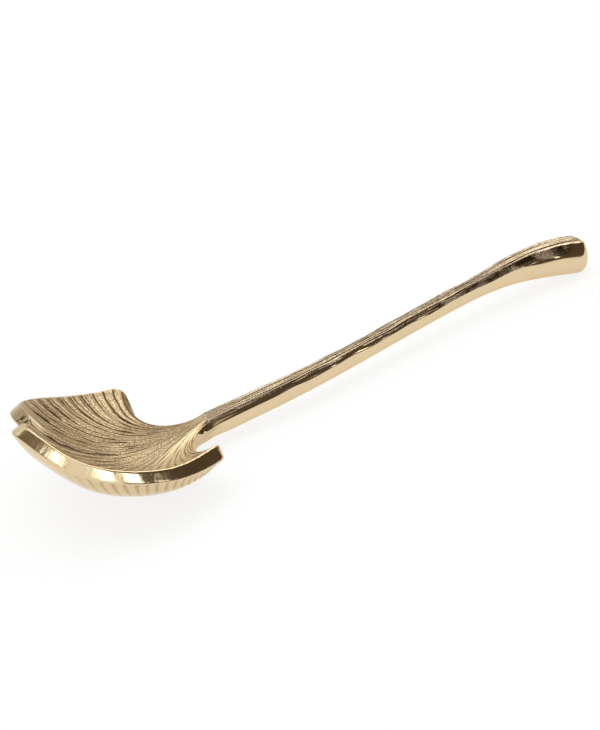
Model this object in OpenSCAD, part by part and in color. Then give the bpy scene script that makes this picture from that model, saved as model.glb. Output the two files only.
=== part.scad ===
// A cast brass spoon whose bowl is a fan-shaped leaf and whose handle is a twig.
// It is one solid: a skin of rings that runs from the knob, along the handle, and out
// along the leaf's flow lines to its rim. It lies as it rests, on its belly and its knob.
// The leaf points to -X, the knob to +X. "Near" is the -Y side and "far" the +Y side.

/* [Leaf outline] */
// Reach of the near lobe, from the neck to its front
near_reach = 38.5; // [30:0.5:48]
// Reach of the far lobe, from the neck to its front
far_reach = 34.5; // [28:0.5:44]
// Reach of each wing, from the neck to its tip
wing_reach = 19.2; // [14:0.2:26]
// Angle of the near wing's tip from the leaf's front, at the neck
near_tip_angle = 96; // [75:1:100]
// Angle of the far wing's tip from the leaf's front, at the neck
far_tip_angle = 93; // [75:1:100]
// Angle at which the near lobe starts to fall back towards the wing
near_shoulder = 22; // [0:1:45]
// Angle at which the far lobe starts to fall back towards the wing
far_shoulder = 0; // [0:1:45]
// How far a wing's tip is rounded off
tip_round = 4; // [1:0.2:5]
// Depth of the notch at the front
notch_depth = 2.2; // [0:0.1:4]
// Angle over which a lobe's corner is rounded into the notch, seen from the neck
notch_half_angle = 9; // [2:0.5:14]

/* [Bowl] */
// Height of the bowl's floor below the neck's top
floor_drop = 5.4; // [1:0.2:8]
// Rise of the rim above the floor at the near wing's tip
near_wing_rise = 5.1; // [1:0.1:8]
// Rise of the rim above the floor at the far wing's tip
far_wing_rise = 5.3; // [1:0.1:8]
// Further rise of the rim from the wings to the front
side_rise = 3.2; // [1:0.2:9]
// Further rise of the near lobe's front
near_front_rise = 6.4; // [0:0.1:11]
// Angle over which the near lobe's front rises
near_front_spread = 27; // [15:1:50]
// Further rise of the far lobe's front
far_front_rise = 5.8; // [0:0.1:9]
// Angle over which the far lobe's front rises
far_front_spread = 40; // [15:1:50]
// How late along a flow line the wall turns up
wall_power = 3.2; // [2:0.1:6]

/* [Thickness] */
// Thickness of the rim, its polished band
rim_thick = 2.9; // [1.5:0.05:4]
// Thickness of the rim at the wings' tips
tip_thick = 3.3; // [1.5:0.05:5]
// Thickness of the leaf's edge between the handle and a wing's tip
shoulder_thick = 2.3; // [1.5:0.1:4]
// Thickness of the casting in the throat, where the neck runs into the bowl
throat_thick = 4.2; // [2.5:0.1:7]
// Thickness of the casting in the middle of the bowl
belly_thick = 5.7; // [3:0.1:8]

/* [Ribs] */
// Ribs across the fan, from one wing's tip to the other
rib_count = 30; // [12:2:36]
// Depth of the grooves between the ribs
groove_depth = 0.35; // [0:0.05:0.8]
// Depth of the flutes on the underside, inside the rim
flute_depth = 0.45; // [0:0.02:0.6]
// Share of the grooves' depth that is left at the rim
rim_groove_share = 0.25; // [0:0.05:1]
// Length of the flutes, as a share of a flow line
flute_share = 0.34; // [0.15:0.01:0.5]

/* [Handle] */
// Length of the handle, from the neck to the knob's end
handle_length = 92.5; // [60:0.5:130]
// Slope of the handle against the leaf
handle_slope = 14; // [5:0.5:25]
// How far the knob droops below the handle's line
knob_droop = 3.3; // [0:0.1:6]
// Sideways sway of the twig
sway = 1.4; // [0:0.1:4]
// Width of the neck
neck_width = 6; // [3:0.1:8]
// Thickness of the neck
neck_thick = 5; // [3:0.1:8]
// Width of the handle at its waist
waist_width = 4.3; // [2.5:0.1:7]
// Thickness of the handle at its waist
waist_thick = 4.1; // [2.5:0.1:7]
// Width of the knob
knob_width = 8; // [4:0.1:14]
// Thickness of the knob
knob_thick = 7.6; // [4:0.1:14]
// Length over which the knob's end is rounded
knob_round = 3.2; // [1:0.1:6]
// Grooves along the top of the handle
bark_grooves = 5; // [3:1:9]
// Depth of the grooves along the handle
bark_depth = 0.28; // [0:0.02:0.6]
// Form of the handle's side: 1 gives a straight-sided ridge, and 2 a round one
side_power = 1.3; // [1:0.1:3]

/* [Hidden] */

// Where the handle ends and the leaf's flow lines start, and the height of its top there
neck_x = 7;
neck_top = 2;
// The top strip's share of the handle's width, and the edge's share of its thickness
strip_share = 0.6;
edge_share = 0.55;
// The near half changes into the far half over this share of the fan
lobe_blend = 0.1;
// The share of the fan, at each wing, over which the tip is rounded
tip_share = 0.14;
// The flow lines leave the neck by these lengths, in the middle and at the wings, and
// spread by this factor on that way
leave_front = 13.5;
leave_wing = 5.5;
leave_spread = 1.1;
// The flow lines come in to the rim from this share of its reach, turned by this share
arrive_share = 0.63;
arrive_turn = 0.64;
// The floor starts to rise to the neck here
floor_from = -18;
// Shares of a flow line at the throat and where the belly is thickest
throat_share = 0.22;
belly_share = 0.42;
// How late along a flow line the casting thins towards the rim
thin_power = 4.4;
// Across the leaf the casting thins to its edges by this power, and by a half round at the
// neck, which it leaves over this share of a flow line
section_power = 2.2;
section_share = 0.4;
// How far the edge from the neck to a wing's tip bulges, and at the tip, over this last
// share of a flow line
edge_bulge = 0.1;
tip_bulge = 0.5;
tip_bulge_share = 0.25;
// The flutes on the underside start and are full at these shares of a wing's fan, and fade
// at the rim over the last share of a flow line
flute_start_share = 0.2;
flute_full_share = 0.5;
flute_fade_share = 0.08;
// The rim starts to thicken towards a wing's tip at this share of the wing's fan
thicken_share = 0.5;
// Shares of a flow line over which the ribs start, they fade at the rim, and the handle's
// grooves run out
rib_start_share = 0.45;
rim_fade_share = 0.15;
bark_end_share = 0.3;
// The handle narrows to its waist over this share of its length, flares from the second
// share over the third, and droops from the fourth
waist_share = 0.5;
flare_start_share = 0.7;
flare_share = 0.27;
droop_start_share = 0.78;
// The handle's line is lifted by this height beyond the neck, over this length
neck_lift = 0.5;
neck_lift_length = 5;
// The share of a half round that the knob's end has, before it ends flat
knob_end_share = 0.97;
// Step of the numeric derivatives
probe = 0.01;

// Columns round a ring, and rings along the spoon
top_columns = 3 * rib_count;
low_columns = 2 * rib_count;
side_steps = 4;
ring_size = top_columns + low_columns + 2 * side_steps;
handle_rings = 17;
leaf_rings = 17;
floor_top = neck_top - floor_drop;

function smooth(x) = let (c = min(1, max(0, x))) c * c * (3 - 2 * c);
function mix(a, b, w) = a + (b - a) * w;
function unit(p) = p / norm(p);

// Leaf. q runs from -1 at the far wing's tip over 0 at the notch to 1 at the near wing's
// tip, and v from 0 at the neck to 1 at the end of a whole flow line.
function near_share(q) = smooth(0.5 + q / lobe_blend);

function fan_angle(q) = q * mix(far_tip_angle, near_tip_angle, near_share(q));

function full_reach(q) =
    let (
        angle = abs(fan_angle(q)),
        front = mix(far_reach, near_reach, near_share(q)),
        start = q > 0 ? near_shoulder : far_shoulder
    )
    mix(wing_reach, front, smooth((90 - angle) / (90 - start)));

// Share of a flow line that is left where the notch and the rounded tips cut it short
function rim_share(q) =
    let (
        corner = max(0, abs(q) - 1 + tip_share) / tip_share,
        tip = tip_round * (1 - sqrt(max(0, 1 - corner * corner))),
        near_notch = max(0, 1 - abs(fan_angle(q)) / notch_half_angle),
        notch = notch_depth * (1 - sqrt(1 - near_notch * near_notch))
    )
    1 - (tip + notch) / full_reach(q);

function rim_rise(q) =
    let (
        angle = fan_angle(q),
        far = far_wing_rise + far_front_rise * exp(-pow(angle / far_front_spread, 2)),
        near = near_wing_rise + near_front_rise * exp(-pow(angle / near_front_spread, 2))
    )
    side_rise * cos(angle) + mix(far, near, near_share(q));

// Place of a flow line's point in plan, on a cubic curve from the neck to the rim
function flow(q, v) =
    let (
        angle = fan_angle(q),
        reach = full_reach(q),
        half = strip_share * neck_width / 2,
        leave = mix(leave_wing, leave_front, pow(cos(angle), 2)),
        turn = angle * mix(1, arrive_turn, abs(q)),
        start = [neck_x, q * half],
        out = [neck_x - leave, leave_spread * q * half],
        into = arrive_share * reach * [-cos(turn), sin(turn)],
        rim = reach * [-cos(angle), sin(angle)]
    )
    pow(1 - v, 3) * start + 3 * v * pow(1 - v, 2) * out
    + 3 * v * v * (1 - v) * into + pow(v, 3) * rim;

function floor_height(x) =
    floor_top + floor_drop * pow(max(0, x - floor_from) / (neck_x - floor_from), 2);

function leaf_face(q, v) =
    let (p = flow(q, v))
    [p.x, -p.y, floor_height(p.x) + rim_rise(q) * pow(v, wall_power)];

function leaf_normal(q, v) =
    let (
        q0 = max(-1, q - probe),
        q1 = min(1, q + probe),
        v0 = max(0, v - probe),
        v1 = min(1, v + probe),
        across = leaf_face(q1, v) - leaf_face(q0, v),
        along = leaf_face(q, v1) - leaf_face(q, v0)
    )
    unit(cross(along, across));

function leaf_thick(q, v) =
    let (
        rim = mix(rim_thick, tip_thick, smooth((abs(q) - thicken_share) / (1 - thicken_share))),
        throat = mix(neck_thick, throat_thick, smooth(v / throat_share)),
        middle = mix(throat, belly_thick, smooth((v - throat_share) / (belly_share - throat_share))),
        centre = mix(middle, rim, pow(v, thin_power)),
        shoulder = mix(edge_share * neck_thick, shoulder_thick, smooth(v / section_share)),
        edge = mix(shoulder, rim, pow(v, 3)),
        round = mix(sqrt(1 - q * q), 1 - pow(abs(q), section_power), smooth(v / section_share))
    )
    mix(edge, centre, round);

// Grooves: 1 in the bottom of a groove, 0 on the ribs
function groove(count, q) =
    let (place = (q + 1) / 2 * count)
    max(0, 1 - 3 * abs(place - round(place)));

// The grooves fade at the neck, and to a share of their depth at the rim
function leaf_relief(q, v) =
    let (keep = mix(1, rim_groove_share, smooth(1 + (v - 1) / rim_fade_share)))
    -groove_depth * groove(rib_count, q) * smooth(v / rib_start_share) * keep
    + bark_relief(q) * (1 - smooth(v / bark_end_share));

function flute(q, v) =
    let (
        side = smooth((abs(q) - flute_start_share) / (flute_full_share - flute_start_share)),
        keep = smooth(1 + (v - 1) / flute_share) * smooth((1 - v) / flute_fade_share)
    )
    flute_depth * groove(rib_count, q) * side * keep;

// v runs to 1 at the rim as it is cut, and its thickness and relief follow that
function leaf_top(q, v) =
    let (w = v * rim_share(q))
    leaf_face(q, w) + leaf_normal(q, w) * leaf_relief(q, v);

function leaf_low(q, v) =
    let (w = v * rim_share(q))
    leaf_face(q, w) - leaf_normal(q, w) * (leaf_thick(q, v) - flute(q, v));

// Handle. u runs from 0 at the neck to 1 at the knob's end.
function flare(u) = smooth((u - flare_start_share) / flare_share);

function handle_width(u) =
    mix(mix(neck_width, waist_width, smooth(u / waist_share)), knob_width, flare(u));

function handle_thick(u) =
    mix(mix(neck_thick, waist_thick, smooth(u / waist_share)), knob_thick, flare(u));

function handle_centre(u) =
    neck_top - neck_thick / 2 + tan(handle_slope) * handle_length * u
    + neck_lift * (1 - exp(-u * handle_length / neck_lift_length))
    - knob_droop * pow(max(0, u - droop_start_share) / (1 - droop_start_share), 2);

function bark_relief(q) = -bark_depth * groove(bark_grooves, q);

// Share of its size that the section keeps where the knob is rounded
function knob_share(u) =
    let (past = max(0, 1 - (1 - u) * handle_length / knob_round))
    sqrt(1 - pow(knob_end_share * past, 2));

function handle_point(u, side, height) =
    let (
        slope = (handle_centre(u + probe) - handle_centre(u - probe)) / (2 * probe * handle_length),
        up = unit([-slope, 0, 1]),
        keep = knob_share(u),
        centre = [neck_x + u * handle_length, -sway * sin(360 * u), handle_centre(u)]
    )
    centre + keep * (side * [0, -1, 0] + height * up);

function handle_face(q, u) =
    handle_point(u, q * strip_share * handle_width(u) / 2, handle_thick(u) / 2 + bark_relief(q));

function handle_low(q, u) =
    let (deep = mix(edge_share, 1, sqrt(1 - q * q)) * handle_thick(u))
    handle_point(u, q * strip_share * handle_width(u) / 2, handle_thick(u) / 2 - deep);

// Side of a ring, between its top and its underside, bulged outwards
function side_points(high, low, bulge, away) =
    [for (k = [1:side_steps - 1])
        let (w = k / side_steps)
        mix(high, low, w) + bulge * (1 - pow(abs(2 * w - 1), side_power)) * away];

// A ring: the top from far to near, the near side, the underside back, and the far side
function ring(tops, lows, bulge, near_away, far_away) =
    let (near_end = lows[0], far_end = lows[low_columns])
    concat(
        tops,
        side_points(tops[top_columns], near_end, bulge, near_away),
        lows,
        side_points(far_end, tops[0], bulge, far_away)
    );

function handle_ring(u) =
    ring(
        [for (j = [0:top_columns]) handle_face(2 * j / top_columns - 1, u)],
        [for (j = [0:low_columns]) handle_low(1 - 2 * j / low_columns, u)],
        (1 - strip_share) * handle_width(u) / 2 * knob_share(u), [0, -1, 0], [0, 1, 0]
    );

function edge_away(q, v) =
    let (
        w = v * rim_share(q),
        along = leaf_face(q, min(1, w + probe)) - leaf_face(q, max(0, w - probe))
    )
    sign(q) * unit(cross(leaf_normal(q, w), along));

function leaf_bulge(v) =
    let (edge = mix((1 - strip_share) * neck_width / 2, edge_bulge, smooth(v / section_share)))
    mix(edge, tip_bulge, smooth(1 + (v - 1) / tip_bulge_share));

function leaf_ring(v) =
    ring(
        [for (j = [0:top_columns]) leaf_top(2 * j / top_columns - 1, v)],
        [for (j = [0:low_columns]) leaf_low(1 - 2 * j / low_columns, v)],
        leaf_bulge(v), edge_away(1, v), edge_away(-1, v)
    );

rings = concat(
    [for (i = [0:handle_rings - 1]) handle_ring(1 - pow(i / handle_rings, 1.5))],
    [for (i = [0:leaf_rings]) leaf_ring(pow(i / leaf_rings, 0.9))]
);
loose_points = [for (r = rings) each r];

// Resting: the pitch at which the belly and the knob both touch the ground
function pitched(p, a) = [p.x * cos(a) + p.z * sin(a), p.y, p.z * cos(a) - p.x * sin(a)];

function lowest(points, a) =
    let (heights = [for (p = points) pitched(p, a).z])
    points[search(min(heights), heights)[0]];

function rest_pitch(belly, knob, a, turns) =
    turns == 0 ? a :
    let (low = lowest(belly, a), end = lowest(knob, a))
    rest_pitch(belly, knob, atan2(end.z - low.z, end.x - low.x), turns - 1);

belly_points = [for (p = loose_points) if (p.x < 0) p];
knob_points = [for (p = loose_points) if (p.x > neck_x + 0.8 * handle_length) p];
pitch = rest_pitch(belly_points, knob_points, 10, 5);
rested = [for (p = loose_points) pitched(p, pitch)];
low_corner = [for (k = [0:2]) min([for (p = rested) p[k]])];
high_corner = [for (k = [0:2]) max([for (p = rested) p[k]])];
middle = (low_corner + high_corner) / 2;
skin_points = [for (p = rested) p - [middle.x, middle.y, low_corner.z]];

// Faces. Each ring is joined to the next, and the knob's end is a fan round its middle.
ring_total = len(rings);
end_middle = len(skin_points);
knob_ring = [for (k = [0:ring_size - 1]) skin_points[k]];
knob_middle = [for (k = [0:ring_size - 1]) 1] * knob_ring / ring_size;

function at(i, k) = i * ring_size + (k + ring_size) % ring_size;

wall_faces = [
    for (i = [0:ring_total - 2], k = [0:ring_size - 1])
        each [
            [at(i, k), at(i + 1, k + 1), at(i + 1, k)],
            [at(i, k), at(i, k + 1), at(i + 1, k + 1)]
        ]
];
knob_faces = [for (k = [0:ring_size - 1]) [end_middle, at(0, k + 1), at(0, k)]];

// The rim's band joins three steps of the top to two of the underside at each rib
function rim_top(j) = at(ring_total - 1, j);
function rim_low(j) = at(ring_total - 1, top_columns + side_steps + low_columns - j);
rim_faces = [
    for (r = [0:rib_count - 1])
        let (t = 3 * r, b = 2 * r)
        each [
            [rim_top(t), rim_top(t + 1), rim_low(b)],
            [rim_top(t + 1), rim_low(b + 1), rim_low(b)],
            [rim_top(t + 1), rim_top(t + 2), rim_low(b + 1)],
            [rim_top(t + 2), rim_low(b + 2), rim_low(b + 1)],
            [rim_top(t + 2), rim_top(t + 3), rim_low(b + 2)]
        ]
];
tip_faces = [
    for (k = [0:side_steps - 2])
        each [
            [rim_top(top_columns), at(ring_total - 1, top_columns + k + 1),
                at(ring_total - 1, top_columns + k + 2)],
            [rim_top(0), at(ring_total - 1, -k - 2), at(ring_total - 1, -k - 1)]
        ]
];

module spoon() {
    color("#c9a66b")
        polyhedron(
            concat(skin_points, [knob_middle]),
            concat(wall_faces, knob_faces, rim_faces, tip_faces)
        );
}

spoon();
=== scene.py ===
import math
from types import SimpleNamespace
import bmesh
import bpy
import numpy as np
from mathutils import Matrix, Vector


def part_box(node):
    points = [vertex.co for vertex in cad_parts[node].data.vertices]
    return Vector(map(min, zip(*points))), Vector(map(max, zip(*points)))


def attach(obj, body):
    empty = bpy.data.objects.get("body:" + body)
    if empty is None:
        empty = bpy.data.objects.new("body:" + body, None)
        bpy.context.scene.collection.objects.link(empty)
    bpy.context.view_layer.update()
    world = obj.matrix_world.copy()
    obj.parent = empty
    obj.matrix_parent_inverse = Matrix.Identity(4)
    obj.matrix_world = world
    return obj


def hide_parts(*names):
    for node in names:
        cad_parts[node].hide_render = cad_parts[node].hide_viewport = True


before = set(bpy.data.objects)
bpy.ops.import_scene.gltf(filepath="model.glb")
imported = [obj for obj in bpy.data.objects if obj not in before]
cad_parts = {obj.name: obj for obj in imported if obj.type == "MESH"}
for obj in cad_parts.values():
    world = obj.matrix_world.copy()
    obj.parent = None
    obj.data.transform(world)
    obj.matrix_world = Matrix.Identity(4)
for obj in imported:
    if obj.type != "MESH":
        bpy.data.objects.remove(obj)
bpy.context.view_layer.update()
print("frame loaded")

# sizes are in millimetres and degrees, in the bowl's own frame: its neck lies level there.
# places are shares of a lobe's fan, 1 at the wing's tip, or of a flow line, 1 at the rim; those
# named Fan or Line are a start and a length
leaf = {
    # the outline, for the far lobe and the near one
    "reach": (34.0, 38.5), "tipAngle": (93, 96), "shoulder": (0, 22), "lobeBlend": 0.1,
    "wingReach": 19.2, "tipRound": 4.0, "tipShare": 0.14, "notchDepth": 2.2, "notchHalf": 9.0,
    # how the flow lines leave the neck, at the wings and in the middle, and arrive at the rim
    "leave": (5.5, 13.5), "leaveSpread": 1.1, "arrive": 0.63, "arriveTurn": 0.64,
    # the rise of the rim, for the far lobe and the near one, and the floor
    "wingRise": (5.3, 5.1), "frontRise": (5.8, 6.4), "frontSpread": (40, 27), "sideRise": 3.2,
    "floorDrop": 5.4, "floorFrom": -18.0, "wallPower": 3.2,
    # the thickness, and where the underside is fuller
    "rim": 2.9, "tipThick": 3.9, "thickenFrom": 0.5, "shoulderThick": 2.3, "throat": 4.2,
    "belly": 5.7, "throatAt": 0.22, "bellyAt": 0.42, "thinPower": 4.4, "edgePower": 3,
    "sectionPower": 2.2, "sectionShare": 0.4,
    "full": 0.8, "fullFan": (0.4, 0.3), "fullLine": (0.35, 0.3), "fullEnd": 0.12,
    # the edge: a round one, and a bulge at the wings' tips
    "edgeRound": 0.25, "edgeRoundPower": 8, "edgeLine": (0, 0.4),
    "tipBulge": 0.5, "tipBulgePower": 1.8, "tipBulgeShare": 0.25, "tipBulgeFan": (0.93, 0.07),
    # how far the tips' corners are cut back above and below, far and near, and from where on the
    # fan to where
    "cornerTop": (1.1, 0.45), "topSpan": ((0.9, 1.0), (0.84, 0.96)),
    "cornerLow": (1.2, 2.2), "lowSpan": (0.76, 0.96), "cornerLine": (0.5, 0.4),
}
# waves have a height, a pace along the line, and a turn from each line to the next; widths are
# at the neck and at the rim, in shares of a rib
ribs = {
    "count": 30, "depth": 0.36, "depthMean": 0.85, "depthWaves": ((0.25, 0, 2.4),),
    "wander": ((0.10, 7, 2.1), (0.05, 19, 1.3)), "wanderLine": (0, 0.3), "wanderEnd": 0.1,
    "widths": (0.34, 0.24), "power": 1.3, "lean": 0.14,
    "line": (0, 0.45), "rimShare": 0.2, "rimFade": 0.12,
    "flutes": 2, "fluteDepth": 0.42, "fluteSlope": 2.6, "fluteFan": (0.2, 0.3),
    "fluteShare": 0.34, "fluteEnd": 0.08,
}
bark = {
    "lines": 5, "depth": 0.28, "depthMean": 0.75, "depthWaves": ((0.35, 0.12, 2.7),),
    "wander": ((0.13, 0.21, 1.9), (0.07, 0.53, 4.1)), "slope": 3, "onLeaf": (0, 0.3),
}
handle = {
    "neckX": 7.0, "neckTop": 2.0, "neckWidth": 6.0, "neckThick": 5.0,
    "waistWidth": 4.3, "waistThick": 4.1, "waistAt": 0.5,
    "knobWidth": 8.0, "knobThick": 7.6, "knobRound": 1.7, "knobEnd": 0.5,
    "flareFrom": 0.7, "flareShare": 0.27,
    "length": 92.5, "slope": 14.0, "droop": 3.3, "droopFrom": 0.78,
    "lift": 0.5, "liftLength": 5.0, "sway": 1.4,
    # the section at the neck, along the twig and at the knob
    "strip": (0.6, 0.64, 0.56), "low": (0.6, 0.95, 0.95), "sidePower": (4.5, 4.5, 2.0),
    "roundBy": 5.0, "edge": 0.55, "crown": 0.09, "ridge": 0.4, "ridgePower": 1.3,
    # the twig's edges wander, from 8 mm behind the neck on, and less at the knob
    "wander": 0.1, "wanderWaves": ((0.6, 0.43, 1), (0.4, 0.81, 3)), "wanderFrom": (8, 16),
    "knobCalm": 0.7, "stripSeed": 1.0, "sideSeed": 2.6, "sideWander": 3,
}
# how finely the skin is divided, the steps of its derivatives, and the search for its pitch
skin = {
    "topSteps": 240, "lowSteps": 240, "handleRows": 70, "leafRows": 90,
    "handlePower": 1.4, "leafPower": 0.9,
    "sideShares": (0, 0.03, 0.08, 0.16, 0.25, 0.34, 0.43, 0.5, 0.57, 0.66, 0.75, 0.84, 0.92, 0.97, 1),
    "step": 0.01, "bandStep": 0.002, "atTip": 0.9999, "weld": 2e-6,
    "firstPitch": 10.0, "pitchTurns": 5, "knobFrom": 0.8,
}
# the parts of the skin that the brass tells apart
zones = {"top": 0.0, "side": 1.0, "under": 2.0, "band": 3.0}


def smooth(x):
    x = np.clip(x, 0, 1)
    return x * x * (3 - 2 * x)


# from 0 at the start to 1 after the length, and the same over the last share of a line
def after(x, start, length):
    return smooth((x - start) / length)


def last(v, share):
    return smooth(1 + (v - 1) / share)


# from 1 to 0 over the last share of a line
def untilEnd(v, share):
    return smooth((1 - v) / share)


def mix(a, b, w):
    return a + (b - a) * w


def waves(along, line, terms):
    return sum(height * np.sin(pace * along + turn * line) for height, pace, turn in terms)


def unit(v):
    return v / np.linalg.norm(v, axis=-1, keepdims=True)


def point(x, y, z):
    return np.stack(np.broadcast_arrays(x, y, z), -1).astype(float)


# the leaf: q is -1 at the far wing's tip and 1 at the near one's, v is 0 at the neck
def nearShare(q):
    return smooth(0.5 + q / leaf["lobeBlend"])


def fanAngle(q):
    return q * mix(*leaf["tipAngle"], nearShare(q))


def fullReach(q):
    start = np.where(q > 0, leaf["shoulder"][1], leaf["shoulder"][0])
    front = mix(*leaf["reach"], nearShare(q))
    return mix(leaf["wingReach"], front, smooth((90 - np.abs(fanAngle(q))) / (90 - start)))


def rimShare(q, inset):
    corner = np.maximum(0, np.abs(q) - 1 + leaf["tipShare"]) / leaf["tipShare"]
    tip = leaf["tipRound"] * (1 - np.sqrt(np.maximum(0, 1 - corner ** 2)))
    toNotch = np.maximum(0, 1 - np.abs(fanAngle(q)) / leaf["notchHalf"])
    notch = leaf["notchDepth"] * (1 - np.sqrt(1 - toNotch ** 2))
    return 1 - (tip + notch + inset) / fullReach(q)


def rimRise(q):
    angle = fanAngle(q)
    rises = [leaf["wingRise"][k] + leaf["frontRise"][k] * np.exp(-(angle / leaf["frontSpread"][k]) ** 2)
             for k in (0, 1)]
    return leaf["sideRise"] * np.cos(np.radians(angle)) + mix(*rises, nearShare(q))


def leafFace(q, v):
    angle = np.radians(fanAngle(q))
    reach = fullReach(q)
    half = handle["strip"][0] * handle["neckWidth"] / 2
    leave = mix(*leaf["leave"], np.cos(angle) ** 2)
    turn = angle * mix(1, leaf["arriveTurn"], np.abs(q))
    a, b, c, d = (1 - v) ** 3, 3 * v * (1 - v) ** 2, 3 * v * v * (1 - v), v ** 3
    x = a * handle["neckX"] + b * (handle["neckX"] - leave) \
        - c * leaf["arrive"] * reach * np.cos(turn) - d * reach * np.cos(angle)
    y = a * q * half + b * leaf["leaveSpread"] * q * half \
        + c * leaf["arrive"] * reach * np.sin(turn) + d * reach * np.sin(angle)
    floor = handle["neckTop"] - leaf["floorDrop"] * (1 - (np.maximum(0, x - leaf["floorFrom"])
                                                          / (handle["neckX"] - leaf["floorFrom"])) ** 2)
    return point(x, -y, floor + rimRise(q) * v ** leaf["wallPower"])


def leafAlong(q, v):
    step = skin["step"]
    return leafFace(q, np.minimum(v + step, 1)) - leafFace(q, np.maximum(v - step, 0))


def leafNormal(q, v):
    step = skin["step"]
    across = leafFace(np.minimum(q + step, 1), v) - leafFace(np.maximum(q - step, -1), v)
    return unit(np.cross(leafAlong(q, v), across))


def leafThick(q, v):
    throat = mix(handle["neckThick"], leaf["throat"], smooth(v / leaf["throatAt"]))
    middle = mix(throat, leaf["belly"], after(v, leaf["throatAt"], leaf["bellyAt"] - leaf["throatAt"]))
    towardsTip = smooth((np.abs(q) - leaf["thickenFrom"]) / (1 - leaf["thickenFrom"]))
    rim = mix(leaf["rim"], leaf["tipThick"], towardsTip)
    centre = mix(middle, rim, v ** leaf["thinPower"])
    share = smooth(v / leaf["sectionShare"])
    edge = mix(mix(handle["edge"] * handle["neckThick"], leaf["shoulderThick"], share), rim,
               v ** leaf["edgePower"])
    across = mix(np.sqrt(np.maximum(0, 1 - q * q)), 1 - np.abs(q) ** leaf["sectionPower"], share)
    return mix(edge, centre, across)


# ribs: narrow grooves that wander a little, between faces that lean like pleats
def ribRelief(q, v):
    place = (q + 1) / 2 * ribs["count"]
    line = np.round(place)
    wander = waves(v, line, ribs["wander"])
    wander = wander * after(v, *ribs["wanderLine"]) * untilEnd(v, ribs["wanderEnd"])
    depth = ribs["depth"] * (ribs["depthMean"] + waves(v, line, ribs["depthWaves"]))
    groove = np.maximum(0, 1 - np.abs(place - line + wander) / mix(*ribs["widths"], v)) ** ribs["power"]
    lean = ribs["lean"] * (place - np.floor(place) - 0.5) * np.where(q > 0, -1, 1)
    keep = mix(1, ribs["rimShare"], last(v, ribs["rimFade"]))
    return (lean - depth * groove) * after(v, *ribs["line"]) * keep


def barkRelief(q, along):
    place = (q + 1) / 2 * bark["lines"]
    line = np.round(place)
    inner = (line > 0) & (line < bark["lines"])
    offset = np.abs(place - line + waves(along, line, bark["wander"]) * inner)
    depth = bark["depth"] * (bark["depthMean"] + waves(along, line, bark["depthWaves"]))
    return -depth * np.maximum(0, 1 - bark["slope"] * offset)


def flutes(q, v):
    place = (q + 1) / 2 * ribs["count"] * ribs["flutes"]
    keep = last(v, ribs["fluteShare"]) * untilEnd(v, ribs["fluteEnd"])
    return ribs["fluteDepth"] * after(np.abs(q), *ribs["fluteFan"]) * keep \
        * np.maximum(0, 1 - ribs["fluteSlope"] * np.abs(place - np.round(place)))


# the wing tips' corners are round, above and below
def corner(q, v, start, end):
    past = np.clip((np.abs(q) - start) / (end - start), 0, 1)
    return (1 - np.sqrt(1 - past ** 2)) * after(v, *leaf["cornerLine"])


def leafTop(q, v):
    w = v * rimShare(q, leaf["edgeRound"])
    start, end = (mix(far, near, nearShare(q)) for far, near in zip(*leaf["topSpan"]))
    relief = ribRelief(q, v) + barkRelief(q, 0) * (1 - after(v, *bark["onLeaf"])) \
        - mix(*leaf["cornerTop"], nearShare(q)) * corner(q, v, start, end)
    return leafFace(q, w) + leafNormal(q, w) * relief[..., None]


def leafLow(q, v):
    w = v * rimShare(q, leaf["edgeRound"])
    full = after(np.abs(q), *leaf["fullFan"]) * untilEnd(v, leaf["fullEnd"]) * after(v, *leaf["fullLine"])
    thick = leafThick(q, v) - flutes(q, v) + leaf["full"] * full \
        - mix(*leaf["cornerLow"], nearShare(q)) * corner(q, v, *leaf["lowSpan"])
    return leafFace(q, w) - leafNormal(q, w) * thick[..., None]


# the edge: w is 0 above and 1 below
def edgeAway(q, v):
    w = v * rimShare(q, 0)
    return unit(np.cross(leafNormal(q, w), leafAlong(q, w))) * np.sign(q)[..., None]


def edgeProfile(w):
    return leaf["edgeRound"] * np.sqrt(np.maximum(0, 1 - np.abs(2 * w - 1) ** leaf["edgeRoundPower"]))


def tipProfile(w):
    return leaf["tipBulge"] * (1 - np.abs(2 * w - 1) ** leaf["tipBulgePower"])


def bandPoint(q, w):
    upper, lower = leafTop(q, np.ones_like(q)), leafLow(q, np.ones_like(q))
    a, b = np.maximum(q - skin["bandStep"], -1), np.minimum(q + skin["bandStep"], 1)
    rim = leafFace(b, rimShare(b, 0)) - leafFace(a, rimShare(a, 0))
    away = unit(np.cross(rim, leafNormal(q, rimShare(q, 0))))
    ends = np.abs(q) > skin["atTip"]
    away = np.where(ends[:, None], edgeAway(np.where(q > 0, 1.0, -1.0), np.ones_like(q)), away)
    bulge = mix(edgeProfile(w), tipProfile(w), after(np.abs(q), *leaf["tipBulgeFan"]))
    return mix(upper, lower, w[:, None]) + bulge[:, None] * away


# the handle: u is 0 at the neck and 1 at the knob's end
def flare(u):
    return after(u, handle["flareFrom"], handle["flareShare"])


def handleSize(u, name):
    waist = mix(handle["neck" + name], handle["waist" + name], smooth(u / handle["waistAt"]))
    return mix(waist, handle["knob" + name], flare(u))


def handleHeight(u):
    return handle["neckTop"] - handle["neckThick"] / 2 \
        + math.tan(math.radians(handle["slope"])) * handle["length"] * u \
        + handle["lift"] * (1 - np.exp(-u * handle["length"] / handle["liftLength"])) \
        - handle["droop"] * (np.maximum(0, u - handle["droopFrom"]) / (1 - handle["droopFrom"])) ** 2


def knobShare(u):
    past = np.maximum(0, 1 - (1 - u) * handle["length"] / handle["knobRound"])
    return mix(handle["knobEnd"], 1, np.sqrt(1 - np.minimum(past, 1) ** 2))


# how far the leaf's section at the neck has turned into the twig's
def rounded(u):
    return smooth(u * handle["length"] / handle["roundBy"])


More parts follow.
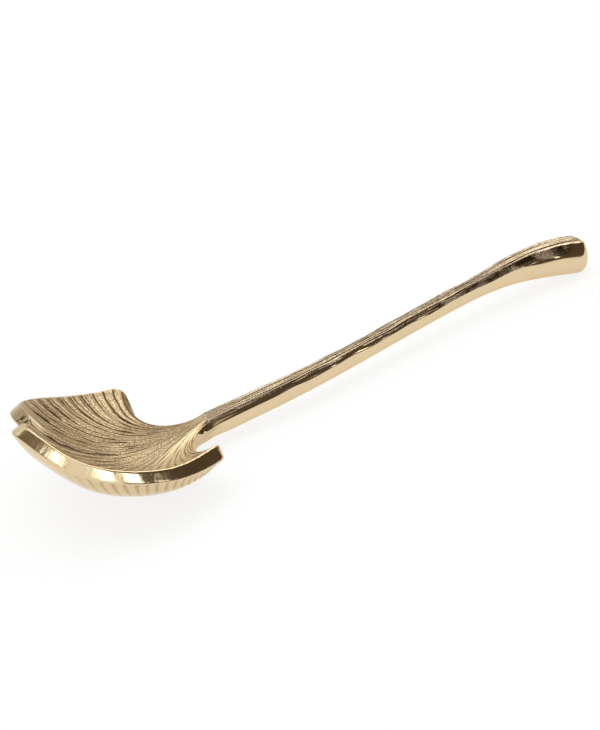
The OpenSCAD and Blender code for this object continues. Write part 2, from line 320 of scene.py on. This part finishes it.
def section(name, u):
    neck, twig, knob = handle[name]
    return mix(mix(neck, twig, rounded(u)), knob, flare(u))


def wander(u, seed):
    along = u * handle["length"]
    return handle["wander"] * waves(along, seed, handle["wanderWaves"]) \
        * after(along, *handle["wanderFrom"]) * (1 - handle["knobCalm"] * flare(u))


def handlePoint(u, side, height):
    step = skin["step"]
    slope = (handleHeight(u + step) - handleHeight(u - step)) / (2 * step * handle["length"])
    up = unit(point(-slope, 0, 1))
    sway = -handle["sway"] * np.sin(2 * np.pi * u)
    centre = point(handle["neckX"] + u * handle["length"], sway, handleHeight(u))
    keep = knobShare(u)[..., None]
    return centre + keep * (side[..., None] * np.array((0, -1, 0)) + height[..., None] * up)


def handleTop(q, u):
    half = (section("strip", u) + wander(u, handle["stripSeed"])) * handleSize(u, "Width") / 2
    relief = barkRelief(q, u * handle["length"]) - handle["crown"] * rounded(u) * half * q * q
    return handlePoint(u, q * half, handleSize(u, "Thick") / 2 + relief)


def handleLow(q, u):
    half = section("low", u) * handleSize(u, "Width") / 2
    deep = mix(handle["edge"], 1, np.sqrt(np.maximum(0, 1 - q * q))) * handleSize(u, "Thick")
    return handlePoint(u, q * half, handleSize(u, "Thick") / 2 - deep)


def handleBulge(w, u):
    ridge = handle["ridge"] * (1 - np.abs(2 * w - 1) ** handle["ridgePower"])
    shoulder = (section("low", u) - section("strip", u)) * (1 - (1 - w) ** section("sidePower", u) - w)
    twig = shoulder + handle["sideWander"] * wander(u, handle["sideSeed"]) * w * (1 - w)
    return mix(ridge, twig, rounded(u)) * handleSize(u, "Width") / 2 * knobShare(u)


# the skin: rows run from the knob's end to the rim, columns over the top, down the near side,
# along the underside and up the far side. the columns stand closer where the wing tips turn
def tipSpread(q):
    start = 1 - leaf["tipShare"]
    turned = start + leaf["tipShare"] * np.sin((np.abs(q) - start) / leaf["tipShare"] * np.pi / 2)
    return np.sign(q) * np.where(np.abs(q) > start, turned, np.abs(q))


def skinPoint(column, row):
    top, low, sides = skin["topSteps"], skin["lowSteps"], len(skin["sideShares"]) - 1
    onHandle = row < skin["handleRows"]
    u = 1 - (np.minimum(row, skin["handleRows"]) / skin["handleRows"]) ** skin["handlePower"]
    v = (np.maximum(0, row - skin["handleRows"]) / skin["leafRows"]) ** skin["leafPower"]
    nearSide = (column > top) & (column < top + sides)
    farSide = column > top + sides + low
    onTop, onSide = column <= top, nearSide | farSide
    qLow = 1 - 2 * (column - top - sides) / low
    q = np.where(onTop, 2 * column / top - 1, np.where(nearSide, 1, np.where(farSide, -1, qLow)))
    q = tipSpread(np.clip(q, -1, 1))
    down = np.where(nearSide, column - top, np.where(farSide, top + low + 2 * sides - column, 0))
    w = np.array(skin["sideShares"])[down.astype(int)]
    w = np.where(onSide, w, np.where(onTop, 0, 1))
    upper = np.where(onHandle[:, None], handleTop(q, u), leafTop(q, v))
    lower = np.where(onHandle[:, None], handleLow(q, u), leafLow(q, v))
    leafBulge = mix(handleBulge(w, 0 * w), edgeProfile(w), after(v, *leaf["edgeLine"]))
    leafBulge = mix(leafBulge, tipProfile(w), last(v, leaf["tipBulgeShare"]))
    bulge = np.where(onHandle, handleBulge(w, u), leafBulge)
    side = np.where(q > 0, 1.0, -1.0)
    away = np.where(onHandle[:, None], point(0, -side, 0), edgeAway(side, v))
    place = mix(upper, lower, w[:, None]) + (bulge * onSide)[:, None] * away
    zone = np.where(onSide, zones["side"], np.where(onTop, zones["top"], zones["under"]))
    return place, q, np.where(onHandle, -u, v), w, zone


def pitched(p, pitch):
    a = math.radians(pitch)
    return point(p[:, 0] * math.cos(a) + p[:, 2] * math.sin(a), p[:, 1],
                 p[:, 2] * math.cos(a) - p[:, 0] * math.sin(a))


# the pitch at which the belly and the knob both touch the table
def restPitch(p):
    belly, knob = p[p[:, 0] < 0], p[p[:, 0] > handle["neckX"] + skin["knobFrom"] * handle["length"]]
    pitch = skin["firstPitch"]
    for turn in range(skin["pitchTurns"]):
        low, end = (part[np.argmin(pitched(part, pitch)[:, 2])] for part in (belly, knob))
        pitch = math.degrees(math.atan2(end[2] - low[2], end[0] - low[0]))
    return pitch


# in metres, at rest on the table, centred, and no larger than the CAD part
def restOnTable(places):
    pitch = restPitch(places)
    places = pitched(places, pitch)
    low, high = places.min(0), places.max(0)
    origin = -point((low[0] + high[0]) / 2, (low[1] + high[1]) / 2, low[2])
    cadSize = [(b - a) * 1000 for a, b in zip(*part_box("spoon"))]
    print("pitch", round(pitch, 2), "visual", (high - low).round(2), "cad", np.round(cadSize, 2))
    return (places + origin) * np.minimum(1, np.array(cadSize) / (high - low)) / 1000, origin, pitch


def gridOf(columns, rows):
    bm = bmesh.new()
    bmesh.ops.create_grid(bm, x_segments=columns, y_segments=rows, size=0.5)
    bm.verts.ensure_lookup_table()
    xy = np.array([v.co[:2] for v in bm.verts]) + 0.5
    return bm, np.rint(xy[:, 0] * columns), np.rint(xy[:, 1] * rows)


# what the brass reads at each corner: place across the fan and along the spoon, zone, and w
def writeLook(bm, qs, alongs, ws, kinds):
    flow = bm.loops.layers.uv.new("flow")
    zone = bm.loops.layers.uv.new("zone")
    bm.verts.index_update()
    for face in bm.faces:
        met = [kinds[v.index] for v in face.verts]
        kind = zones["side"] if zones["side"] in met else met[0]
        for loop in face.loops:
            i = loop.vert.index
            loop[flow].uv = ((qs[i] + 1) / 2, alongs[i])
            loop[zone].uv = (kind, ws[i])


# the skin and the rim's band become one closed mesh
def weld(tube, band):
    data = bpy.data.meshes.new("bandPart")
    band.to_mesh(data)
    band.free()
    tube.from_mesh(data)
    bpy.data.meshes.remove(data)
    bmesh.ops.remove_doubles(tube, verts=tube.verts, dist=skin["weld"])
    ends = [e for e in tube.edges if e.is_boundary]
    filled = bmesh.ops.contextual_create(tube, geom=ends)["faces"]
    bmesh.ops.poke(tube, faces=filled)
    bmesh.ops.recalc_face_normals(tube, faces=tube.faces)
    for face in tube.faces:
        face.smooth = True
    print("open edges", sum(1 for e in tube.edges if not e.is_manifold), "faces", len(tube.faces))


def addMesh(name, bm):
    data = bpy.data.meshes.new(name)
    bm.to_mesh(data)
    bm.free()
    piece = bpy.data.objects.new(name, data)
    bpy.context.scene.collection.objects.link(piece)
    return piece


def makeSpoon():
    sides = len(skin["sideShares"]) - 1
    columns = skin["topSteps"] + skin["lowSteps"] + 2 * sides
    tube, column, row = gridOf(columns, skin["handleRows"] + skin["leafRows"])
    place, *tubeLook = skinPoint(column, row)
    band, bandColumn, bandRow = gridOf(skin["topSteps"], sides)
    q = tipSpread(np.clip(2 * bandColumn / skin["topSteps"] - 1, -1, 1))
    w = np.array(skin["sideShares"])[bandRow.astype(int)]
    bandLook = (q, np.ones_like(q), w, np.full_like(q, zones["band"]))
    both, origin, pitch = restOnTable(np.concatenate([place, bandPoint(q, w)]))
    for bm, places, look in ((tube, both[:len(place)], tubeLook), (band, both[len(place):], bandLook)):
        for vert, co in zip(bm.verts, places):
            vert.co = co
        writeLook(bm, *look)
    weld(tube, band)
    return addMesh("castSpoon", tube), origin, pitch


spoon, origin, pitch = makeSpoon()
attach(spoon, "root")
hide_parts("spoon")
print("spoon made")

# the brass, polished outside and cast inside
brass = {
    "polished": (0.74, 0.59, 0.365), "cast": (0.88, 0.69, 0.43), "twig": (0.56, 0.44, 0.32),
    # groove is the dark colour of the lines and cracks, and of the painted shade
    "groove": (0.10, 0.06, 0.025), "edgeTint": (0.95, 0.86, 0.72),
    "polishedRough": 0.12, "castRough": 0.2, "bandRough": 0.6,
    # cells of the crazing and of the twig's ticks, and the scale of the noise that shakes them
    "crackAcross": 2.0, "crackAlong": 110.0, "crackShake": 900.0,
    "tickAcross": 5.0, "tickAlong": 190.0, "tickSide": 9.0,
    # noise has a scale, detail and roughness, and a wobble a scale and a size
    "grain": (3000.0, 2.0, 0.65), "cloud": (110.0, 3.0, 0.5), "streaks": (1.0, 2.0, 0.6),
    "polish": (95.0, 1.0, 0.4), "barkBreaks": 260.0,
    "ribWobble": (320.0, 0.35), "barkWobble": (90.0, 0.9), "fluteWobble": 0.4,
    "streakStretch": (75.0, 0.5),
    # half the width of a groove's bottom, and the share of the grooves that run into the handle
    "grooveCore": 0.03, "neckLines": 0.3333,
    # how dark each kind is, where the flute, end face and rolled edge darkness is painted shade, and how
    # much the calm skin loses
    "neckDark": 0.85, "fineDark": 0.9, "crackDark": 0.65, "twigDark": 0.9, "twigSpecks": 0.22,
    "fluteShade": 0.45, "faceShade": 0.55, "edgeShade": 0.88, "pleatDark": 0.12,
    "pleatCalm": 0.8, "calmLoss": 0.5, "faceEnd": 0.498,
    # how far down the twig's side is cast: what the knob has more, and what all of it has
    "castTo": (0.36, 0.12),
    # the grain's height, by how rough the skin is and everywhere, and the dark lines' depth
    "grainHeight": (0.8, 0.2), "lineDepth": 0.7,
}
# strength, and distance in metres
bumps = {"cast": (0.7, 0.00014), "streak": (0.2, 0.0004), "polish": (0.3, 0.0006)}
# from nothing to full across the fan (0 far, 0.5 front, 1 near), along the spoon (-1 knob,
# 0 neck, 1 rim), or at a distance from a line; two more values are what it goes between
spans = {
    "leafStart": (-0.03, 0.1), "leafCast": (-0.03, 0.1, 0.7, 1.0),
    "grooveWidth": (0.2, 0.4, 0.1, 0.17), "grooveAlong": (0.2, 0.45),
    "neckLine": (0.16, 0.03), "neckIn": (-0.2, -0.05), "neckOut": (0.55, 0.4),
    "fineLine": (0.24, 0.05), "fineAlong": (0.35, 0.6), "fineFar": (0.06, 0.18), "fineNear": (0.84, 0.74),
    "crackLine": (0.13, 0.02),
    "barkLine": (0.2, 0.04), "barkTicks": (0.36, 0.2), "barkBreaks": (0.38, 0.55),
    "pleatAcross": (0.66, 0.8), "pleatAlong": (0.95, 0.6),
    "marginFar": (0.42, 0.45), "marginNear": (0.51, 0.49), "marginAlong": (0.88, 0.95),
    "lipAlong": (0.98, 0.992), "lipAcross": (0.48, 0.52),
    "wingAcross": (0.36, 0.26), "wingAlong": (0.5, 0.7), "wingSpecks": (0.0, 1.0, 0.5, 0.3),
    "speck": (0.38, 0.62), "patch": (0.4, 0.55), "knobPatch": (0.3, 0.45),
    "towardsKnob": (-0.45, -0.75), "sideFade": (0.0, 0.1), "knobFade": (-0.975, -0.94),
    # where the painted shade lies on the flutes, the far lobe's end face and the far wing's rolled edge
    "fluteShadeLine": (0.28, 0.03), "fluteShadeAlong": (0.6, 0.8), "fluteShadeAcross": (0.1, 0.2),
    "faceShadeAcross": (0.3, 0.42), "edgeShadeAcross": (0.045, 0.03),
}


class Nodes:
    def __init__(self, tree):
        self.tree = tree
        tree.nodes.clear()

    def add(self, kind, **inputs):
        node = self.tree.nodes.new(kind)
        for name, value in inputs.items():
            self.put(node, name, value)
        return node

    # an input is named, or is i and its number
    def put(self, node, name, value):
        byNumber = name[0] == "i" and name[1:].isdigit()
        socket = node.inputs[int(name[1:]) if byNumber else name.replace("_", " ")]
        if isinstance(value, bpy.types.NodeSocket):
            self.tree.links.new(value, socket)
        else:
            socket.default_value = value

    def math(self, operation, a, b=0.5, c=0.5):
        node = self.add("ShaderNodeMath", i0=a, i1=b, i2=c)
        node.operation = operation
        return node.outputs[0]

    def plus(self, a, b):
        return self.math("ADD", a, b)

    def minus(self, a, b):
        return self.math("SUBTRACT", a, b)

    def times(self, first, *others):
        for other in others:
            first = self.math("MULTIPLY", first, other)
        return first

    def most(self, first, *others):
        for other in others:
            first = self.math("MAXIMUM", first, other)
        return first

    # distance to the next line, where the lines are the whole numbers
    def toLine(self, value):
        return self.math("PINGPONG", value, 0.5)

    def ramp(self, value, low, high, start=0.0, end=1.0):
        node = self.add("ShaderNodeMapRange", Value=value, From_Min=low, From_Max=high,
                        To_Min=start, To_Max=end)
        node.interpolation_type = "SMOOTHSTEP"
        return node.outputs[0]

    def part(self, value, name):
        return self.ramp(value, *spans[name])

    def blend(self, factor, a, b):
        node = self.tree.nodes.new("ShaderNodeMix")
        node.data_type = "RGBA"
        for index, value in ((0, factor), (6, a), (7, b)):
            if isinstance(value, bpy.types.NodeSocket):
                self.tree.links.new(value, node.inputs[index])
            else:
                node.inputs[index].default_value = value if index == 0 else (*value, 1)
        return node.outputs[2]

    def uv(self, name):
        node = self.add("ShaderNodeUVMap")
        node.uv_map = name
        return self.add("ShaderNodeSeparateXYZ", Vector=node.outputs[0]).outputs[:2]

    def noise(self, vector, scale, detail=2.0, roughness=0.5):
        node = self.add("ShaderNodeTexNoise", Vector=vector, Scale=scale, Detail=detail, Roughness=roughness)
        return node.outputs[0]

    def wobble(self, vector, scale, size):
        return self.times(self.minus(self.noise(vector, scale), 0.5), size)

    # a web of fine cracks on the piece's own flow lines
    def cracks(self, across, along, place):
        cells = self.add("ShaderNodeCombineXYZ", X=across, Y=along, Z=0.0)
        shake = self.add("ShaderNodeTexNoise", Vector=place, Scale=brass["crackShake"], Detail=2.0)
        shaken = self.add("ShaderNodeVectorMath", i0=cells.outputs[0], i1=shake.outputs[1])
        shaken.operation = "ADD"
        web = self.add("ShaderNodeTexVoronoi", Vector=shaken.outputs[0], Scale=1.0)
        web.feature = "DISTANCE_TO_EDGE"
        return self.part(web.outputs[0], "crackLine")

    def bump(self, name, height, **normal):
        strength, distance = bumps[name]
        node = self.add("ShaderNodeBump", Strength=strength, Distance=distance, Height=height, **normal)
        return node.outputs[0]


def newMaterial(name):
    material = bpy.data.materials.new(name)
    material.use_nodes = True
    return material, Nodes(material.node_tree)


# where a point lies, and on which part of the skin
def readSkin(n):
    at = SimpleNamespace(place=n.add("ShaderNodeTexCoord").outputs["Object"])
    at.across, at.along = n.uv("flow")
    kind, at.down = n.uv("zone")
    at.isTop = n.math("LESS_THAN", kind, zones["top"] + 0.5)
    at.isSide = n.math("COMPARE", kind, zones["side"], 0.4)
    at.isUnder = n.math("COMPARE", kind, zones["under"], 0.4)
    at.isBand = n.math("GREATER_THAN", kind, zones["band"] - 0.4)
    at.onLeaf = n.part(at.along, "leafStart")
    at.onHandle = n.minus(1.0, at.onLeaf)
    at.toMiddle = n.math("ABSOLUTE", n.minus(at.across, 0.5))
    at.rib = n.times(at.across, float(ribs["count"]))
    at.wobble = n.wobble(at.place, *brass["ribWobble"])
    return at


# the ribs' grooves, every third one on into the handle, and finer lines between them, all but
# beside the wing tips
def leafLines(n, at):
    width = n.part(at.toMiddle, "grooveWidth")
    groove = n.times(n.ramp(n.toLine(n.plus(at.rib, at.wobble)), width, brass["grooveCore"]),
                     n.part(at.along, "grooveAlong"))
    third = n.toLine(n.plus(n.times(at.rib, brass["neckLines"]), at.wobble))
    neckPart = n.times(n.part(at.along, "neckIn"), n.part(at.along, "neckOut"))
    neckLine = n.times(n.part(third, "neckLine"), neckPart, brass["neckDark"])
    between = n.toLine(n.plus(n.times(at.rib, 2.0), n.plus(at.wobble, 0.5)))
    finePart = n.times(n.part(at.along, "fineAlong"), n.part(at.across, "fineFar"),
                       n.part(at.across, "fineNear"))
    fineLine = n.times(n.part(between, "fineLine"), finePart, brass["fineDark"])
    return n.most(groove, neckLine, fineLine)


# bark lines along the handle and ticks beside them
def barkLines(n, at):
    wobble = n.wobble(at.place, *brass["barkWobble"])
    toBark = n.toLine(n.plus(n.times(at.across, float(bark["lines"])), wobble))
    broken = n.part(n.noise(at.place, brass["barkBreaks"]), "barkBreaks")
    tickAcross = n.plus(n.times(at.across, brass["tickAcross"]),
                        n.times(at.down, at.isSide, brass["tickSide"]))
    ticks = n.cracks(tickAcross, n.times(at.along, brass["tickAlong"]), at.place)
    line = n.times(n.part(toBark, "barkLine"), broken)
    return ticks, n.most(line, n.times(ticks, n.part(toBark, "barkTicks"), broken))


# painted shade along the flutes on the underside, in lines which wobble less than the ribs
def paintedFluteShade(n, at):
    place = n.times(n.plus(at.rib, n.times(at.wobble, brass["fluteWobble"])), float(ribs["flutes"]))
    # painted shade: dark lines along the flutes
    return n.times(at.isUnder, n.part(n.toLine(place), "fluteShadeLine"), n.part(at.along, "fluteShadeAlong"),
                   n.part(at.toMiddle, "fluteShadeAcross"), brass["fluteShade"])


# calm skin: pleats beside the neck, the margin at the far lobe's front, the near lobe's lip
def calmParts(n, at):
    pleats = n.times(n.part(at.across, "pleatAcross"), n.part(at.along, "pleatAlong"))
    margin = n.times(n.part(at.across, "marginFar"), n.part(at.across, "marginNear"),
                     n.part(at.along, "marginAlong"))
    lip = n.times(n.part(at.along, "lipAlong"), n.part(at.across, "lipAcross"))
    return pleats, n.most(n.times(pleats, brass["pleatCalm"]), margin, lip)


# how much of the skin is as cast: inside the bowl, along the twig's top and the upper side
def castParts(n, at):
    cloud = n.noise(at.place, *brass["cloud"])
    towardsKnob = n.part(at.along, "towardsKnob")
    patchy = n.most(n.part(cloud, "patch"), n.times(towardsKnob, n.part(cloud, "knobPatch")))
    castTo = n.math("MULTIPLY_ADD", towardsKnob, *brass["castTo"])
    sideCast = n.times(at.isSide, at.onHandle, n.part(n.minus(castTo, at.down), "sideFade"),
                       patchy, n.part(at.along, "knobFade"))
    topCast = n.times(at.isTop, n.part(at.along, "leafCast"))
    return sideCast, n.most(topCast, sideCast)


# painted shade darkens the far lobe's end face and the far wing's rolled edge, and the pleats are browner
def paintedShadeAndBrownPleats(n, at, pleats):
    # painted shade on the far lobe's end face
    face = n.times(at.isBand, n.part(at.across, "faceShadeAcross"),
                   n.math("LESS_THAN", at.across, brass["faceEnd"]), brass["faceShade"])
    # painted shade on the far wing's rolled edge
    edge = n.times(n.part(at.across, "edgeShadeAcross"), n.part(at.along, "wingAlong"), brass["edgeShade"])
    return n.most(face, edge, n.times(pleats, at.onLeaf, brass["pleatDark"]))


def darkParts(n, at, grain, calm, sideCast):
    rough = n.minus(1.0, calm)
    crazing = n.cracks(n.times(at.rib, brass["crackAcross"]), n.times(at.along, brass["crackAlong"]),
                       at.place)
    specks = n.minus(1.0, n.part(grain, "speck"))
    onWing = n.times(n.part(at.across, "wingAcross"), n.part(at.along, "wingAlong"))
    leafDark = n.most(n.times(leafLines(n, at), n.minus(1.0, n.times(calm, brass["calmLoss"]))),
                      n.times(crazing, rough, brass["crackDark"]),
                      n.times(specks, rough, n.part(onWing, "wingSpecks")))
    ticks, lines = barkLines(n, at)
    twigDark = n.most(lines, n.times(specks, brass["twigSpecks"]), n.times(ticks, sideCast))
    return n.most(n.times(leafDark, at.onLeaf), n.times(twigDark, at.onHandle, brass["twigDark"]))


# relief: grain, cracks and grooves inside, streaks across the band, hand polishing everywhere
def brassRelief(n, at, grain, calm, cast, dark):
    grainHeight = n.times(grain, n.math("MULTIPLY_ADD", n.minus(1.0, calm), *brass["grainHeight"]))
    relief = n.bump("cast", n.times(n.minus(grainHeight, n.times(dark, brass["lineDepth"])), cast))
    stretchAcross, stretchDown = brass["streakStretch"]
    streaks = n.add("ShaderNodeCombineXYZ", X=n.times(at.across, stretchAcross),
                    Y=n.times(at.down, stretchDown), Z=0.0)
    relief = n.bump("streak", n.times(n.noise(streaks.outputs[0], *brass["streaks"]), at.isBand),
                    Normal=relief)
    return n.bump("polish", n.noise(at.place, *brass["polish"]), Normal=relief)


def makeBrass():
    material, n = newMaterial("brass")
    at = readSkin(n)
    grain = n.noise(at.place, *brass["grain"])
    pleats, calm = calmParts(n, at)
    sideCast, cast = castParts(n, at)
    # dark holds the cast skin's lines, cracks and specks, and painted shade on the flutes, the far lobe's
    # end face and the far wing's rolled edge
    dark = n.most(n.times(darkParts(n, at, grain, calm, sideCast), cast), paintedFluteShade(n, at),
                  paintedShadeAndBrownPleats(n, at, pleats))
    colour = n.blend(cast, brass["polished"], n.blend(at.onHandle, brass["cast"], brass["twig"]))
    colour = n.blend(dark, colour, brass["groove"])
    shine = n.ramp(n.most(cast, n.times(at.isBand, brass["bandRough"])), 0.0, 1.0,
                   brass["polishedRough"], brass["castRough"])
    shader = n.add("ShaderNodeBsdfPrincipled", Base_Color=colour, Metallic=1.0, Roughness=shine,
                   Specular_Tint=(*brass["edgeTint"], 1), Normal=brassRelief(n, at, grain, calm, cast, dark))
    n.add("ShaderNodeOutputMaterial", Surface=shader.outputs[0])
    return material


spoon.data.materials.append(makeBrass())
print("brass made")

# the studio: a white floor and room, and cards and lamps that only the metal sees
studio = {
    "floorSize": 3.0, "floorColour": (0.93, 0.93, 0.93), "floorRough": 0.9,
    "floorWhite": 0.82, "worldLight": 0.85, "cardSteps": 24,
    "overheadPlace": (-0.1, 0.2, 1.0), "overheadSize": 0.8, "overheadPower": 3.5,
}
# each card: from and to in degrees round the spoon and above the table, its light, its distance
cards = {
    "cardBack": (30, 104, 2, 46, (0.86, 0.85, 0.84), 0.9),
    "cardBrown": (122, 176, 20, 86, (0.20, 0.16, 0.11), 0.9),
    "cardOver": (293, 356, 74, 86, (0.20, 0.16, 0.11), 0.9),
    "cardPale": (104, 170, 2, 20, (0.7, 0.62, 0.5), 0.9),
    "cardFront": (272, 368, 0.5, 29, (0.085, 0.062, 0.04), 0.9),
    "cardHigh": (293, 350, 29, 74, (0.09, 0.07, 0.05), 0.9),
    "cardAbove": (276, 293, 50, 74, (0.09, 0.07, 0.05), 0.9),
    "cardBeside": (284, 293, 29, 50, (0.09, 0.07, 0.05), 0.9),
    "cardStreak": (199, 204, 40, 68, (0.35, 0.28, 0.2), 0.9),
    "lampLeft": (180, 194, 48, 67, (4.0, 4.0, 4.0), 0.9),
    "lampMiddle": (255, 274, 36, 53, (3.5, 3.5, 3.5), 0.9),
    "cardGap": (276, 284, 29, 50, (0.45, 0.36, 0.25), 0.9),
    # so near that only the rim sees it
    "lampRight": (220, 236, 21, 31, (4.0, 4.0, 4.0), 0.066),
    "lampKnob": (299.5, 303.5, 12, 26, (3.0, 3.0, 3.0), 0.25),
    "lampWing": (350, 416, 34, 66, (2.7, 2.7, 2.6), 0.86),
}


# 1 where the camera or the metal looks
def seen(n):
    path = n.add("ShaderNodeLightPath")
    return n.most(path.outputs["Is Camera Ray"], path.outputs["Is Glossy Ray"])


# the floor is white where it is seen, and keeps a part of the spoon's shadow
def makeFloorPaint():
    material, n = newMaterial("floorPaint")
    paint = n.add("ShaderNodeBsdfPrincipled", Base_Color=(*studio["floorColour"], 1),
                  Roughness=studio["floorRough"])
    white = n.add("ShaderNodeEmission", Color=(1, 1, 1, 1), Strength=1.0)
    both = n.add("ShaderNodeMixShader", i0=n.times(seen(n), studio["floorWhite"]), i1=paint.outputs[0],
                 i2=white.outputs[0])
    n.add("ShaderNodeOutputMaterial", Surface=both.outputs[0])
    return material


def makeFloor():
    bm = bmesh.new()
    bmesh.ops.create_grid(bm, x_segments=1, y_segments=1, size=studio["floorSize"] / 2)
    floor = addMesh("floor", bm)
    floor.data.materials.append(makeFloorPaint())


def makeCard(name, start, end, low, high, colour, radius):
    bm = bmesh.new()
    first = [bm.verts.new((radius, 0, radius * math.tan(math.radians(a)))) for a in (low, high)]
    edge = bm.edges.new(first)
    bmesh.ops.rotate(bm, verts=bm.verts, cent=(0, 0, 0), matrix=Matrix.Rotation(math.radians(start), 3, "Z"))
    bmesh.ops.spin(bm, geom=[edge] + first, cent=(0, 0, 0), axis=(0, 0, 1),
                   angle=math.radians(end - start), steps=studio["cardSteps"])
    card = addMesh(name, bm)
    material, n = newMaterial(name + "Paint")
    shader = n.add("ShaderNodeEmission", Color=(*colour, 1), Strength=1.0)
    n.add("ShaderNodeOutputMaterial", Surface=shader.outputs[0])
    card.data.materials.append(material)
    card.visible_camera = False
    card.visible_diffuse = False
    card.visible_shadow = False


# the room is white where it is seen, and lights a little less
def makeWorld():
    world = bpy.data.worlds.new("studio")
    bpy.context.scene.world = world
    world.use_nodes = True
    n = Nodes(world.node_tree)
    strength = n.ramp(seen(n), 0.0, 1.0, studio["worldLight"], 1.0)
    light = n.add("ShaderNodeBackground", Color=(1, 1, 1, 1), Strength=strength)
    n.add("ShaderNodeOutputWorld", Surface=light.outputs[0])


# a lamp for the shadow, aimed at the spoon and not seen in the metal
def makeOverhead():
    data = bpy.data.lights.new("overhead", "AREA")
    data.size = studio["overheadSize"]
    data.energy = studio["overheadPower"]
    lamp = bpy.data.objects.new("overhead", data)
    bpy.context.scene.collection.objects.link(lamp)
    place = Vector(studio["overheadPlace"])
    lamp.matrix_world = Matrix.Translation(place) @ place.to_track_quat("Z", "Y").to_matrix().to_4x4()
    lamp.visible_glossy = False


makeFloor()
for name, card in cards.items():
    makeCard(name, *card)
makeWorld()
makeOverhead()
print("studio made")

# the camera looks as the photograph does; its angles are measured in the bowl's frame
view = {"turn": 32.0, "height": 20.7, "scale": 4.89, "originPixel": (174.8, 433.2),
        "frame": (600, 730), "distance": 2000.0, "sensor": 36.0, "clipEnd": 20}


def makeCamera():
    turn, height = math.radians(view["turn"]), math.radians(view["height"])
    right = (math.cos(turn), -math.sin(turn), 0)
    up = (math.sin(turn) * math.sin(height), math.cos(turn) * math.sin(height), math.cos(height))
    back = (-math.sin(turn) * math.cos(height), -math.cos(turn) * math.cos(height), math.sin(height))
    right, up, back = (Vector(p) for p in pitched(np.array([right, up, back]), pitch))
    middle = Vector(origin) \
        + right * ((view["frame"][0] / 2 - view["originPixel"][0]) / view["scale"]) \
        + up * ((view["originPixel"][1] - view["frame"][1] / 2) / view["scale"])
    data = bpy.data.cameras.new("camera")
    data.sensor_width = view["sensor"]
    data.lens = view["sensor"] * view["distance"] / (view["frame"][1] / view["scale"])
    data.clip_end = view["clipEnd"]
    camera = bpy.data.objects.new("camera", data)
    bpy.context.scene.collection.objects.link(camera)
    turned = Matrix((right, up, back)).transposed().to_4x4()
    camera.matrix_world = Matrix.Translation((middle + back * view["distance"]) / 1000) @ turned
    bpy.context.scene.camera = camera


makeCamera()
bpy.context.scene.view_settings.view_transform = "Standard"
print("camera set")
